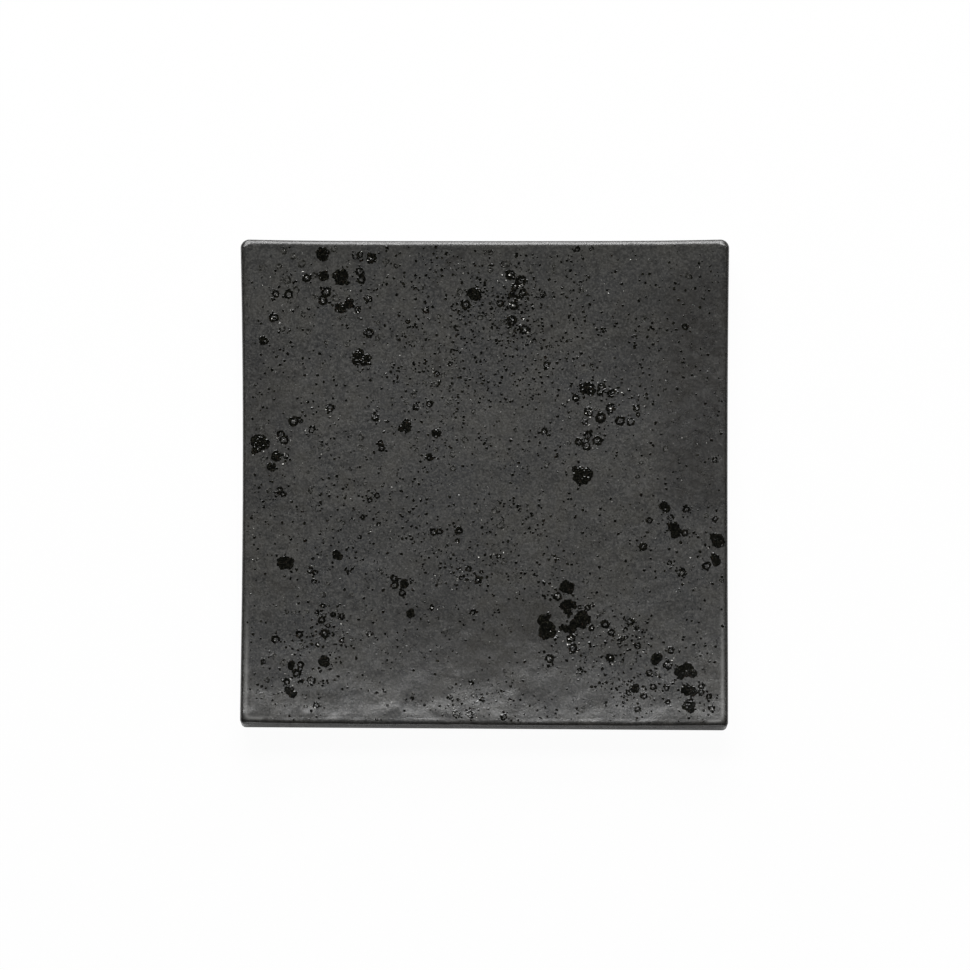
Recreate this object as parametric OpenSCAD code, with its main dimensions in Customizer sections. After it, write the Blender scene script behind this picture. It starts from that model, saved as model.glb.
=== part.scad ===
// Square stoneware plate with a satin-matt charcoal glaze and a scatter of black gloss drops.
// The origin is the middle of the resting plane, +Z is up and +Y is the back of the plate.

/* [Plate] */
// Side of the square plate, over the rim
plate_w = 260; // [240:1:280]
// Radius of the two front corners, seen from above
front_corner_r = 2.6; // [2:0.1:8]
// Radius of the two back corners, seen from above
back_corner_r = 4.8; // [3:0.1:9]
// Height of the underside glaze above the table
under_z = 4; // [3:0.5:6]
// Height of the glaze in the middle of the well
well_z = 12.7; // [11.5:0.1:15]
// How far the well swells up from its middle to the rim
pillow = 4.8; // [3:0.1:6]
// How far the corners of the rim stand above the middles of the sides
corner_lift = 4.4; // [0:0.1:6]

/* [Rim] */
// Radius of the rounding from the crest of the rim to the outer wall
lip_r = 2.5; // [1.4:0.1:3]
// Rise of the narrow cove from the well to the crest of the rim
cove_h = 0.15; // [0.1:0.05:1.5]
// Width of the cove, from the crest inwards
cove_w = 2.6; // [2:0.1:6]
// Radius of the lower outer edge
edge_r = 1.5; // [1:0.1:2.2]
// How far the outer wall leans in at its foot
wall_lean = 0.3; // [0:0.1:2]

/* [Warp from the kiln] */
// How far the left side bows in at its middle
bow_left = 1.55; // [0:0.1:2]
// How far the right side bows in at its middle
bow_right = 0.8; // [0:0.05:2]
// How far the back side bows in at its middle
bow_back = 0.1; // [0:0.05:2]
// How far the front side bows in at its middle
bow_front = 0; // [0:0.05:2]
// How far back the front left corner is drawn
front_skew = 1.7; // [0:0.1:2.5]
// How much further right the back right corner lies than the front right one
side_skew = 0.9; // [0:0.1:1.5]
// How far each end of the front side has drawn in towards the middle
front_taper = 0.65; // [0:0.05:1.5]
// How much deeper than wide the plate has come out
extra_d = 2.3; // [0:0.1:3]

/* [Foot ring] */
// Side of the foot ring, outside
foot_w = 200; // [170:1:210]
// Width of the strip of clay
foot_strip = 5.5; // [4:0.5:8]
// Radius of the foot ring's outer corners
foot_corner_r = 18; // [12:1:30]
// Rounding of the foot's lower edges
foot_edge_r = 0.8; // [0.4:0.1:1.2]
// Bare line between the glaze and the foot ring
bare_line = 0.4; // [0.4:0.1:2]

/* [Glazes] */
// Thickness of the matt glaze
glaze_t = 0.5; // [0.3:0.05:0.8]
// Height of the gloss pools and rings above the matt glaze
drop_h = 0.25; // [0.15:0.05:0.4]
// Height of the burst rings and specks above the matt glaze
fine_h = 0.12; // [0.08:0.02:0.2]
// Depth that every drop has melted into the matt glaze
melt_d = 0.25; // [0.15:0.05:0.3]
// Hole of a ring as a share of its radius
ring_hole = 0.44; // [0.4:0.02:0.7]
// Spacing of the cells that hold one speck or none
speck_cell = 7.5; // [7:0.5:10]
// Seed of the speck scatter
speck_seed = 41; // [1:1:99]

/* [Hidden] */
$fn = 24;

half = plate_w / 2;
size_k = plate_w / 260;
side_steps = 12;
corner_steps = 4;
quarter_steps = side_steps + corner_steps;
outline_steps = 4 * quarter_steps;
arc_step = 30;
// Insets of the rings of points that follow the cove and the well
cove_insets = [for (i = [1 : 4]) lip_r + cove_w * i / 4];
well_insets = [10, 14, 19, 26, 35, 47, 62, 80, 102];
slope_reach = 0.5;
// The drops lie this far off their listed places, all together
scatter_shift = [0, 1.25];
least_speck_r = 0.45;
most_speck_r = 0.85;

// Square with round corners, as the k-th of its points counted from the right side's front end.
// Its radii are those of the front corners and of the back corners.
function outline_point(k, h, radii) =
    let (
        quarter = floor(k / quarter_steps),
        step = k - quarter * quarter_steps,
        on_side = step <= side_steps,
        r_behind = radii[quarter == 1 || quarter == 2 ? 1 : 0],
        r = radii[quarter < 2 ? 1 : 0],
        run = 2 * h - r_behind - r,
        turn = (step - side_steps) * 90 / corner_steps,
        x = on_side ? h : h - r + r * cos(turn),
        y = on_side ? r_behind - h + run * step / side_steps : h - r + r * sin(turn),
        c = cos(90 * quarter),
        s = sin(90 * quarter)
    )
    [x * c - y * s, x * s + y * c];

// The kiln draws the middles of the sides in, narrows the front and skews it and the right side
function warped(p) =
    let (
        u = p.x / half,
        v = p.y / half,
        bow_x = u > 0 ? bow_right : bow_left,
        bow_y = v > 0 ? bow_back : bow_front,
        skew_x = side_skew * (1 + u) * v / 4 - u * front_taper * pow((1 - v) / 2, 8),
        skew_y = front_skew * (1 - u) * (1 - v) / 4
    )
    [
        p.x - u * bow_x * (1 - v * v) + skew_x,
        p.y - v * bow_y * (1 - u * u) + skew_y + v * extra_d / 2
    ];

function unwarped(p) = 2 * p - warped(p);

// Share of the outline's size at which its shrunken copy passes through a point
function outline_share(p) =
    let (
        a = max(abs(p.x), abs(p.y)),
        b = min(abs(p.x), abs(p.y)),
        r = p.y > 0 ? back_corner_r : front_corner_r,
        c = half - r,
        sum = a + b,
        sq = a * a + b * b,
        root = c * c * sum * sum - sq * (2 * c * c - r * r)
    )
    b * half <= a * c ? a / half : sq / (c * sum + sqrt(max(root, 0)));

function well_height(p) =
    let (
        crest = half - lip_r,
        u4 = pow(p.x / crest, 4),
        v4 = pow(p.y / crest, 4)
    )
    well_z + pillow * (u4 + v4 - u4 * v4) + corner_lift * u4 * v4;

function cove_height(inset) =
    let (share = min(max((inset - lip_r) / cove_w, 0), 1))
    cove_h * (1 + cos(180 * share)) / 2;

// Height of the glazed face at a place on the plate
function top_height(place) =
    let (p = unwarped(place))
    well_height(p) + cove_height(half * (1 - outline_share(p)));

function top_slope(place) = [
    top_height(place + [slope_reach, 0]) - top_height(place - [slope_reach, 0]),
    top_height(place + [0, slope_reach]) - top_height(place - [0, slope_reach])
] / (2 * slope_reach);

// One ring of points round the plate, at an inset from the rim
function ring_at(inset, height, under) = [
    for (k = [0 : outline_steps - 1])
        let (
            share = 1 - inset / half,
            p = outline_point(k, half * share, [front_corner_r, back_corner_r] * share),
            crest = well_height(p) + cove_height(inset),
            q = warped(p)
        )
        [q.x, q.y, under ? height : crest + height]
];

// Ring at the foot, where the coat stops short of the strip of clay
function foot_line(height) = [
    for (k = [0 : outline_steps - 1])
        let (p = outline_point(k, foot_w / 2 + bare_line, [1, 1] * (foot_corner_r + bare_line)))
        [p.x, p.y, height]
];

// Rings of the whole face, from the foot round the rim to the well, t inside the glaze's outer face
function face_rings(t) = [
    foot_line(under_z + t),
    ring_at(14, under_z + t, true),
    for (a = [0 : arc_step : 90])
        ring_at(
            wall_lean + edge_r - (edge_r - t) * sin(a),
            under_z + edge_r - (edge_r - t) * cos(a),
            true
        ),
    for (a = [0 : arc_step : 90])
        ring_at(lip_r - (lip_r - t) * cos(a), -lip_r + (lip_r - t) * sin(a), false),
    for (d = concat(cove_insets, well_insets * size_k))
        ring_at(d, -t, false)
];

// Triangles between consecutive rings, where ring i starts at point i * outline_steps
function band_faces(rings) = [
    for (i = [0 : rings - 2], k = [0 : outline_steps - 1])
        let (
            a = i * outline_steps + k,
            b = i * outline_steps + (k + 1) % outline_steps,
            c = a + outline_steps,
            d = b + outline_steps
        )
        each [[a, c, b], [b, c, d]]
];

function pole_faces(first, pole) = [
    for (k = [0 : outline_steps - 1])
        [first + k, pole, first + (k + 1) % outline_steps]
];

function turned_over(faces, shift) = [for (f = faces) [f[0] + shift, f[2] + shift, f[1] + shift]];

module clay_slab() {
    rings = face_rings(glaze_t);
    points = [for (r = rings) each r];
    last = (len(rings) - 1) * outline_steps;
    pole = len(points);
    color("#b39a7d")
        polyhedron(
            concat(points, [[0, 0, well_z - glaze_t], [0, 0, under_z + glaze_t]]),
            concat(
                band_faces(len(rings)),
                pole_faces(last, pole),
                turned_over(pole_faces(0, pole + 1), 0)
            )
        );
}

module rounded_square(w, r) {
    union() {
        square([w, w - 2 * r], center = true);
        square([w - 2 * r, w], center = true);
        for (x = [-1, 1], y = [-1, 1])
            translate([x, y] * (w / 2 - r))
                circle(r);
    }
}

// Section of the clay strip, with its inner face on the Y axis and its sole at the bottom
module foot_section(height) {
    e = foot_edge_r;
    polygon([
        [e, 0], [foot_strip - e, 0], [foot_strip - 0.3 * e, 0.3 * e], [foot_strip, e],
        [foot_strip, height], [0, height], [0, e], [0.3 * e, 0.3 * e]
    ]);
}

module foot_ring() {
    height = under_z + glaze_t;
    inner_r = foot_corner_r - foot_strip;
    run = foot_w - 2 * foot_corner_r;
    color("#b89f82")
        for (q = [0 : 3])
            rotate(90 * q) {
                translate([foot_w / 2 - foot_strip, run / 2, 0])
                    rotate([90, 0, 0])
                        linear_extrude(run)
                            foot_section(height);
                translate([1, 1, 0] * run / 2)
                    rotate_extrude(angle = 90)
                        translate([inner_r, 0])
                            foot_section(height);
            }
}

module matt_glaze_coat() {
    outer = face_rings(0);
    inner = face_rings(glaze_t);
    skin = [for (r = outer) each r];
    lining = [for (r = inner) each r];
    shift = len(skin) + 1;
    last = (len(outer) - 1) * outline_steps;
    faces = concat(band_faces(len(outer)), pole_faces(last, len(skin)));
    color("#474746")
        polyhedron(
            concat(skin, [[0, 0, well_z]], lining, [[0, 0, well_z - glaze_t]]),
            concat(
                faces,
                turned_over(faces, shift),
                [
                    for (k = [0 : outline_steps - 1])
                        let (n = (k + 1) % outline_steps)
                        each [[k, n, shift + k], [n, shift + n, shift + k]]
                ]
            )
        );
}

module base_glaze_panel() {
    inset = foot_strip + bare_line;
    color("#3f3f3e")
        translate([0, 0, under_z])
            linear_extrude(glaze_t)
                rounded_square(foot_w - 2 * inset, foot_corner_r - inset);
}

// Places of the gloss drops as [x, y, radius] in millimetres, on a plate 260 wide.
// Drops that have run together share a group.
back_left_pools = [
    [[-86.2, 122.4, 3.6]],
    [[-85.7, 110.8, 2.7], [-84.9, 112, 1.7]],
    [[-78.2, 111.2, 3], [-75.4, 111.4, 3], [-76.6, 109, 3.2], [-73, 107, 1.3]],
    [[-76.7, 93.9, 2.9], [-72, 96.3, 2.9], [-74.4, 95, 1.6]],
    [[-117.8, 75.8, 2.2]],
    [[-67, 67.8, 3.4], [-63.8, 66.2, 3.3], [-61.9, 64.6, 1.6], [-68.8, 64.9, 1.6], [-66.2, 70, 2]],
    [[-119.8, 20.8, 4.4], [-117.4, 20.6, 3.3], [-121.4, 17.2, 2.4], [-122.6, 15.6, 1.6]],
    [[-110.6, 13.7, 2.8]],
    [[-113.2, 7.9, 2.6]],
    [[-41.6, 31.3, 2.9], [-44.4, 29, 1.8], [-40.9, 28.9, 2]],
    [[-25.6, 26.6, 2.3]],
    [[-29.2, 13.6, 2]],
    [[-5.9, 101.6, 3.1], [-4.6, 100.9, 3.1], [-3.6, 102.2, 2]]
];
back_right_pools = [
    [[14.6, 101, 1.9], [17, 99.4, 1.7]],
    [[55.4, 50.8, 3.4], [53.2, 50.2, 2.6], [57, 49, 2.4], [52, 51.6, 1.5]],
    [[51.8, 3.6, 4.9], [49.4, 6.6, 2.6], [54.4, 4.6, 3.2]]
];
front_left_pools = [
    [[-106.6, -43.6, 3.6], [-104.6, -43.6, 3.5]],
    [[-78.4, -38.9, 2.5], [-77, -40.2, 1.8]],
    [[-42.6, -54.7, 2.5]],
    [[-39.2, -70.4, 2.4]],
    [[-85, -96.6, 3.1]],
    [[-102.3, -98, 1.9], [-102.3, -99.7, 1.7]],
    [[-103.2, -112.2, 2.5], [-101.8, -114.6, 2.2], [-104.6, -111.6, 1.6]],
    [[-96.8, -107, 1.2], [-98.2, -107.8, 0.8]]
];
front_right_pools = [
    [[95.4, -12.8, 2.5], [96.8, -14.2, 2.3]],
    [[100.6, -24.4, 2.9], [101.8, -26.6, 2.7], [101, -28.4, 2]],
    [[123.7, -31.8, 3.5], [122.4, -30.4, 2.4], [125.2, -33.2, 2.4]],
    [[122.2, -41, 2.3], [123.2, -43.4, 2.4]],
    [[43, -56.4, 3.3], [44.8, -57.2, 2.9], [46, -55.8, 1.8], [42.6, -54, 1.6]],
    [[31.2, -74.3, 3], [33.5, -78.8, 4.2], [32, -81.4, 3.2], [35.6, -81, 2.3], [33.7, -72.2, 1.6]],
    [
        [51.9, -72, 3.1], [53.7, -74.2, 2.5], [50, -74.5, 3.2], [47.6, -76, 2.5], [52.2, -77, 1.8],
        [46.2, -79, 2.4], [43.4, -78.9, 2], [41.2, -78, 1.7]
    ],
    [[42.4, -66.4, 2.3], [44.8, -65.6, 2.5], [47, -66, 2], [44, -68.8, 2.1], [45, -70.8, 1.5]],
    [[91.6, -94.6, 2.8], [90.6, -96.2, 2.4]],
    [[103.4, -101.8, 2.9], [107, -101.4, 3.9], [110, -103.2, 2.6], [104.4, -104.6, 2], [106.8, -99.4, 1.8]],
    [[107.2, -112, 3.1], [110.2, -112.8, 2.6]],
    [[108.4, -120.6, 3.4], [106.6, -121, 2.2], [109.6, -122.4, 2.2], [108.8, -118.2, 1.8]],
    [[79.8, -111.2, 2.4]]
];

back_left_rings = [
    [[-66.2, 122.3, 1.9], [-68.8, 120.9, 1.6]], [[-60.4, 120.4, 2.7]], [[-66.5, 113.3, 2.5], [-65.7, 109, 2.3]],
    [[-94.8, 109.7, 2.3]], [[-84.3, 102.4, 2.8], [-86.1, 97.9, 2.7]], [[-67.5, 92.9, 2]],
    [[-61.9, 98.9, 2]], [[-111.3, 100.8, 2.1]], [[-104.4, 100.8, 2.5]], [[-112.2, 88.3, 2.7]],
    [[-61.4, 80.4, 2.5], [-63.4, 80.6, 1.3]], [[-9.9, 95.6, 2.5]], [[-82.3, 40.2, 2.5]],
    [[-101.5, 32.7, 2.9], [-98.2, 33.2, 1.8]], [[-91.8, 28.4, 2]],
    [[-108.4, 25.5, 2.2], [-106.6, 22.6, 2.7]], [[-105.7, 14.1, 1.7]], [[-58.2, 35, 2.1]],
    [[-55.3, 21.2, 1.5], [-54.6, 18.3, 1.9]], [[-25.5, 58.4, 1.8]], [[-29.3, 42.3, 1.8]],
    [[-36.6, 40.5, 1.8]], [[-18.2, 63.8, 1.1]], [[-41, 86.6, 1.2]], [[-31, 92.5, 1.6]]
];
back_right_rings = [
    [[13.8, 111.7, 2.5]], [[19.5, 108.4, 2.8]], [[16.1, 105, 1.8]], [[20.6, 102, 2.3]],
    [[8.4, 96.4, 2.1]], [[15.7, 95.3, 2.5]], [[14.7, 87.2, 2.8]], [[21.1, 82.3, 2.6]],
    [[31.2, 101.2, 1.9]], [[49.6, 125.2, 1.5]], [[26.6, 76.3, 1.2]],
    [[62.3, 51, 2.3], [61.4, 48.6, 1.9]], [[67.6, 48.1, 2.5]], [[67.2, 40, 2.6]],
    [[72.3, 33.1, 2.7]], [[78, 32.4, 2.3]], [[81, 40.3, 1.9]], [[81.8, 36.1, 1.3]],
    [[48.8, 45.5, 1.9]], [[55.4, 37.8, 2.5]], [[61.9, 34.9, 2.9]], [[53.5, 32.2, 1.6]],
    [[55, 25.4, 2.2]], [[50.4, 21.8, 2.2], [54.3, 19.6, 2.7]], [[60, 22.3, 2.7]],
    [[31.8, 27.4, 1.8]], [[33, 63.2, 1.9]], [[42.2, 11, 1.4]], [[122.6, 11.4, 1.7]],
    [[106.8, 83.3, 1.6]], [[57, 63, 1]]
];
front_left_rings = [
    [[-108.7, -4.6, 1.8], [-110.4, -6.8, 1.6], [-107, -6.8, 1.6]], [[-92.5, -47.6, 1.8], [-89.7, -48.6, 1.6]],
    [[-90.4, -53.6, 1.5]], [[-43.7, -59.3, 2.1]], [[-47.8, -51.6, 2], [-47.8, -55.5, 2.3]],
    [[-37.6, -57.6, 1.2]], [[-27.2, -26.6, 1.9], [-23.8, -26.4, 1.8]], [[-13.7, -26, 2.1]],
    [[-14.3, -31.4, 1.2]], [[-13, -47.2, 1.6]], [[-8.5, -46.5, 1.8]], [[-12.3, -51.4, 1.3]],
    [[-3.3, -52.5, 1.9]], [[-1.7, -48.4, 1]], [[-57, -7.2, 1.7]], [[-60.9, -9.5, 1.6]],
    [[-64.7, -18.7, 1.3]], [[-66.5, -29.3, 1.1]], [[-56.2, -22.6, 1.1]], [[-71.8, -48.5, 1.4]],
    [[-110.8, -84.8, 2.3]], [[-98.3, -82, 2.1]], [[-84.7, -81.5, 2.6]], [[-86.3, -74.1, 2]],
    [[-82.9, -77.2, 1.2]], [[-75.9, -72.2, 1.9]], [[-80.2, -71.1, 1.4]], [[-75.7, -85.1, 1.6]],
    [[-88.3, -87.2, 1.4]], [[-89, -70, 1.2]], [[-85.8, -66.4, 1.3]],
    [[-97.6, -98.4, 1.9], [-99.6, -103, 2.4], [-97.8, -100.8, 1.4]],
    [[-91.8, -106.9, 2.6]], [[-104.8, -107.6, 1.9]], [[-89, -120.4, 1.9]], [[-14.8, -125, 2.2]],
    [[-7.7, -124.9, 2]], [[-28, -67.4, 1.4]], [[-6.3, -69.9, 1.6]], [[-61, -81.6, 1.7]],
    [[-18.1, -116, 1.3]], [[-1, -116.9, 1.6]], [[-38.1, -116.4, 1.1]], [[-117.2, -97.3, 1.5]],
    [[-7, -107.9, 1.4]]
];
front_right_rings = [
    [[107.2, -14.7, 1.9]], [[87.6, -20.7, 1.8]], [[99, -19.4, 2]], [[106.4, -27.6, 2]],
    [[122.6, -20.2, 1.8]], [[118, -45.5, 2.4]], [[84.3, -34.8, 2.1]], [[98.3, -43.6, 1.4]],
    [[105.2, -48.9, 2.3]], [[38.6, -61.4, 2.5]], [[50.4, -67, 1.2]],
    [[54.8, -67.6, 1.6]], [[46, -84, 2.4]], [[46.8, -89.2, 2.6]],
    [[34.6, -94.9, 2.4], [35, -98.2, 1.8]], [[64, -76.4, 2.3]], [[56.7, -78.3, 1.6]],
    [[67.4, -81, 1.9]], [[66.7, -94.4, 2.3]], [[50.4, -101.6, 1.7]], [[53.7, -96.5, 1]],
    [[75.2, -73.4, 1.6], [77.3, -75, 2.3]], [[74.9, -79.4, 1.2]], [[75, -83.7, 1.3]],
    [[81, -78.6, 1.3]], [[71.8, -87.7, 1.4]], [[81.2, -88.1, 2]], [[82, -91.9, 1.3]],
    [[97.2, -98.6, 2.5]], [[99, -90.6, 2]], [[115, -110, 1.8], [114.8, -113.4, 1.9]],
    [[118.8, -115.8, 1.6]], [[120.5, -122.5, 2.1]], [[84.2, -115.2, 2.1]], [[76.2, -113.4, 1.6]],
    [[89.3, -110.4, 1.9]], [[87.5, -102.8, 1.9]], [[96.5, -111, 1.6]], [[81.4, -122.5, 1.8]],
    [[97, -118.4, 1.4]], [[13.7, -117.3, 1.1]], [[7.6, -39.8, 1.4]], [[38.9, -41, 0.9]],
    [[10.2, -126.5, 1.9]], [[126, -53.4, 1]]
];

// Bubbles that burst late in the firing and left a low matt ring
back_burst = [
    [-80.4, 125.2, 1.9], [-106.6, 123.6, 1.6], [-102, 121, 1.8], [-97.4, 117.2, 2.2], [-90.3, 111.2, 1.6],
    [-105.2, 108.2, 2.2], [-100.2, 103.5, 1.9], [-90.4, 99.6, 1.4], [-79.2, 99.2, 2], [-107.8, 82.3, 1.8],
    [-93.6, 81.1, 1.8], [-84.1, 75.3, 1.4], [-73.2, 74.3, 1.5], [-76.9, 88.6, 1.2], [-96.4, 89.9, 1.6],
    [-118.8, 114.5, 1.6], [-109.5, 115.5, 1.5], [-52.5, 118.7, 1.8], [-47, 116.5, 1.5], [-57, 77.7, 1.6],
    [-56.8, 86, 1.2], [-13.2, 102.4, 2], [-24.3, 89.3, 1.3], [-2.3, 89, 1.6], [-24.7, 70.3, 1.3],
    [0.4, 123.6, 1.3], [3.4, 123.5, 1.4], [11.4, 117.4, 2.3], [24.5, 113.8, 1.7], [37, 116.1, 1.2],
    [37, 113.3, 1.2], [57.2, 125.4, 1.3], [51.4, 103.3, 1.7], [9.4, 86.3, 1.7], [28, 87.2, 1.1],
    [35, 73.1, 1.3], [13.5, 81, 1.5], [3.3, 114, 1.5], [108.5, 110.5, 1.5], [85.2, 88.2, 1.4],
    [-118.6, 28.6, 1.4], [-117.8, 12, 1.3], [-117.8, 8.4, 1.4], [-86.9, 18.8, 1.6], [-83.4, 17.8, 1.2],
    [-92, 16.2, 1.3], [-91, 7.2, 1.4], [-94, 5.2, 1.1], [-65.8, 24.4, 1.9], [-65.6, 18.5, 1.9],
    [-35.8, 23, 1.4], [-35.8, 17.6, 1.1], [-26, 17.6, 1.5], [-10.3, 23.1, 2], [-16.9, 15.2, 1.6],
    [-37.8, 46.8, 1.7], [-41.6, 43, 1.6], [-19.2, 43.4, 1.7], [-18.8, 51.3, 1.2], [-5.8, 38.5, 1.2],
    [-26.5, 53.8, 1.8], [-32, 54, 1.1], [-17, 7.6, 1.7], [-28.9, 57.8, 1.2], [-22, 58, 1.3],
    [-49, 44.7, 1.2], [81.4, 3, 1.3], [83.5, 10.6, 1.3], [96.6, 18, 1.7], [45, 21.2, 1.4],
    [16.5, 28.2, 1.3], [96, 49.5, 1.1], [32.8, 9, 1.5], [59.4, 39.4, 1.1]
];
front_burst = [
    [-114.4, -5, 1.4], [-92.4, -4.4, 1.4], [-77.6, -20.1, 1.1], [-75, -21.9, 1.1], [-84.6, -31, 1.6],
    [-86, -60.6, 1.6], [-70.3, -60.4, 1.3], [-83, -54.5, 1.2], [-55, -48.2, 1.4], [-23.8, -53.2, 1.6],
    [-3.4, -15.5, 1.3], [-24, -50, 1.1], [5.5, -15.3, 1.8], [8.5, -22.8, 2.2], [10.4, -43, 1.6],
    [-63.5, -0.5, 1.2], [53.5, -53.1, 1.6], [117.8, -18.4, 1.6], [92.8, -83.2, 1.3], [60.6, -71, 1.5],
    [63.4, -69.8, 1.2], [57, -92.5, 1.3], [63, -88, 1.5], [72.4, -97.4, 1.3], [78, -97.4, 1.3],
    [88.3, -115.6, 1.2], [116, -101.6, 1.3], [86, -99.4, 1.3], [91.4, -103, 1.5], [-106.8, -97.4, 1.9],
    [-104.7, -69.8, 1.3], [-101.3, -70.2, 1.2], [-96.8, -88.7, 1.3], [-118, -115.4, 1.8],
    [-115.4, -107, 1.7], [-111.4, -93.4, 1.3], [-94.8, -120.8, 1.3], [-93.8, -69.6, 1.1],
    [-18, -110.2, 1.4], [-5.7, -114.4, 1.4], [-9.8, -116, 1.4], [-28.3, -121.6, 1.3],
    [-38.2, -113.8, 1.2], [7.6, -109, 1.1], [10.8, -101.6, 1.1], [-24.8, -73, 1], [-20.8, -80, 1.3],
    [3.2, -114.2, 1.2], [38.4, -91.8, 1.1], [46, -107, 1.1], [51.5, -122.6, 1.5], [103.4, -116.8, 1.1]
];

pool_groups = concat(back_left_pools, back_right_pools, front_left_pools, front_right_pools);
ring_groups = concat(back_left_rings, back_right_rings, front_left_rings, front_right_rings);
burst_rings = concat(back_burst, front_burst);
all_drops = concat([for (g = concat(pool_groups, ring_groups)) each g], burst_rings);

function place_of(drop) = ([drop.x, drop.y] + scatter_shift) * size_k;

// Seats a flat drop on the glaze, tilted as the glaze slopes there
module lay_on_glaze(place) {
    slope = top_slope(place);
    translate([place.x, place.y, top_height(place) - melt_d])
        rotate([atan(slope.y), -atan(slope.x), 0])
            children();
}

module drop_group(group, hole_share, height) {
    first = place_of(group[0]);
    lay_on_glaze(first)
        linear_extrude(melt_d + height)
            difference() {
                union()
                    for (d = group)
                        translate(place_of(d) - first)
                            circle(d[2]);
                if (hole_share > 0)
                    union()
                        for (d = group)
                            translate(place_of(d) - first)
                                circle(d[2] * hole_share);
            }
}

module gloss_pools() {
    color("#0c0d09")
        for (g = pool_groups)
            drop_group(g, 0, drop_h);
}

module gloss_rings() {
    color("#11120d")
        for (g = ring_groups)
            drop_group(g, ring_hole, drop_h);
}

module faint_rings() {
    color("#2b2b28")
        for (b = burst_rings)
            drop_group([b], ring_hole, fine_h);
}

// Share of the cells that hold a speck: most behind the middle, few at the left side
function speck_share(p) =
    let (
        back_band = exp(-pow((p.y - 72) / 26, 2)) * (p.x > -75 ? 1 : 0.25),
        left_drift = exp(-pow((p.x + 60) / 32, 2) - pow((p.y + 22) / 24, 2)),
        front_drift = exp(-pow((p.x - 45) / 45, 2) - pow((p.y + 98) / 22, 2))
    )
    0.16 + 0.42 * back_band + 0.32 * left_drift + 0.3 * front_drift;

function clear_of_drops(p) = min([for (d = all_drops) norm([d.x, d.y] - p) - d[2]]) > 1.3;

speck_rows = floor((half / size_k - lip_r - 3) / speck_cell);
speck_count = pow(2 * speck_rows + 1, 2);
speck_dx = rands(-0.34, 0.34, speck_count, speck_seed);
speck_dy = rands(-0.34, 0.34, speck_count, speck_seed + 1);
speck_luck = rands(0, 1, speck_count, speck_seed + 2);
speck_size = rands(0, 1, speck_count, speck_seed + 3);
specks = [
    for (i = [-speck_rows : speck_rows], j = [-speck_rows : speck_rows])
        let (
            n = (i + speck_rows) * (2 * speck_rows + 1) + j + speck_rows,
            p = [i + speck_dx[n], j + speck_dy[n]] * speck_cell,
            r = least_speck_r + (most_speck_r - least_speck_r) * pow(speck_size[n], 2)
        )
        if (speck_luck[n] < speck_share(p) && clear_of_drops(p))
            [p.x, p.y, r]
];

module gloss_specks() {
    color("#151610")
        for (s = specks)
            lay_on_glaze(place_of(s))
                cylinder(h = melt_d + fine_h, r = s[2]);
}

clay_slab();
foot_ring();
matt_glaze_coat();
base_glaze_panel();
gloss_pools();
gloss_rings();
faint_rings();
gloss_specks();
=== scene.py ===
import math

import bmesh
import bpy
import numpy as np
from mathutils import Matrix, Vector


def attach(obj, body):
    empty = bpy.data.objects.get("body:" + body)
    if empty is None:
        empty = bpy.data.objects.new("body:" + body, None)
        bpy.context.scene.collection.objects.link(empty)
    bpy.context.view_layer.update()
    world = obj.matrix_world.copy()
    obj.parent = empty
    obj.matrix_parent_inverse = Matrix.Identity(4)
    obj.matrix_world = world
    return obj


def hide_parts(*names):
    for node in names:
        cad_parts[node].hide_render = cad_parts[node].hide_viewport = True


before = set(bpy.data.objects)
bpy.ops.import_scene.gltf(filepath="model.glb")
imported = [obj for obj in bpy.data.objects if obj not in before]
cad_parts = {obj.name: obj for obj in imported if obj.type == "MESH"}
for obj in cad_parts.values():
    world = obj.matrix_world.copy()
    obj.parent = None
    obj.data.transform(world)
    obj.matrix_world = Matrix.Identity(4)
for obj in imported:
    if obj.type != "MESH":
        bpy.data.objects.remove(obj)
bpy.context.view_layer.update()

# Clay slab: a sheet of iron-flecked stoneware, pressed over a mould into a low rim and a swelling well.
# The glazes hide all of it but a thin line beside the foot, so the frame's own solid stays and gets its clay.


def new_material(name):
    """An empty material, its node tree and its shader."""
    material = bpy.data.materials.new(name)
    material.use_nodes = True
    tree = material.node_tree
    return material, tree, tree.nodes["Principled BSDF"]


def pattern(tree, kind, scale, **settings):
    """Strength of a texture on the object's own coordinates."""
    coordinates = tree.nodes.get("Texture Coordinate") or tree.nodes.new("ShaderNodeTexCoord")
    node = tree.nodes.new(kind)
    node.inputs["Scale"].default_value = scale
    for socket, value in settings.items():
        node.inputs[socket].default_value = value
    tree.links.new(coordinates.outputs["Object"], node.inputs["Vector"])
    return node.outputs[0]


def clouded(tree, scale, detail, roughness=0.5):
    """Clouds, or grain where the scale is large."""
    return pattern(tree, "ShaderNodeTexNoise", scale, Detail=detail, Roughness=roughness)


def dotted(tree, scale):
    """Distance from scattered points, for bubbles, pits and crystals."""
    return pattern(tree, "ShaderNodeTexVoronoi", scale)


def graded(tree, source, low, high, low_value, high_value):
    """Turns one range of a pattern's numbers into another."""
    node = tree.nodes.new("ShaderNodeMapRange")
    node.interpolation_type = "SMOOTHSTEP"
    ends = {"From Min": low, "From Max": high, "To Min": low_value, "To Max": high_value}
    for socket, value in ends.items():
        node.inputs[socket].default_value = value
    tree.links.new(source, node.inputs["Value"])
    return node.outputs["Result"]


def blended(tree, share, first, second):
    """Colour made of two others, where each is a socket or a plain colour."""
    node = tree.nodes.new("ShaderNodeMix")
    node.data_type = "RGBA"
    for socket, value in ((node.inputs[0], share), (node.inputs[6], first), (node.inputs[7], second)):
        if isinstance(value, bpy.types.NodeSocket):
            tree.links.new(value, socket)
        elif isinstance(value, tuple):
            socket.default_value = (*value, 1)
        else:
            socket.default_value = value
    return node.outputs[2]


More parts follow.
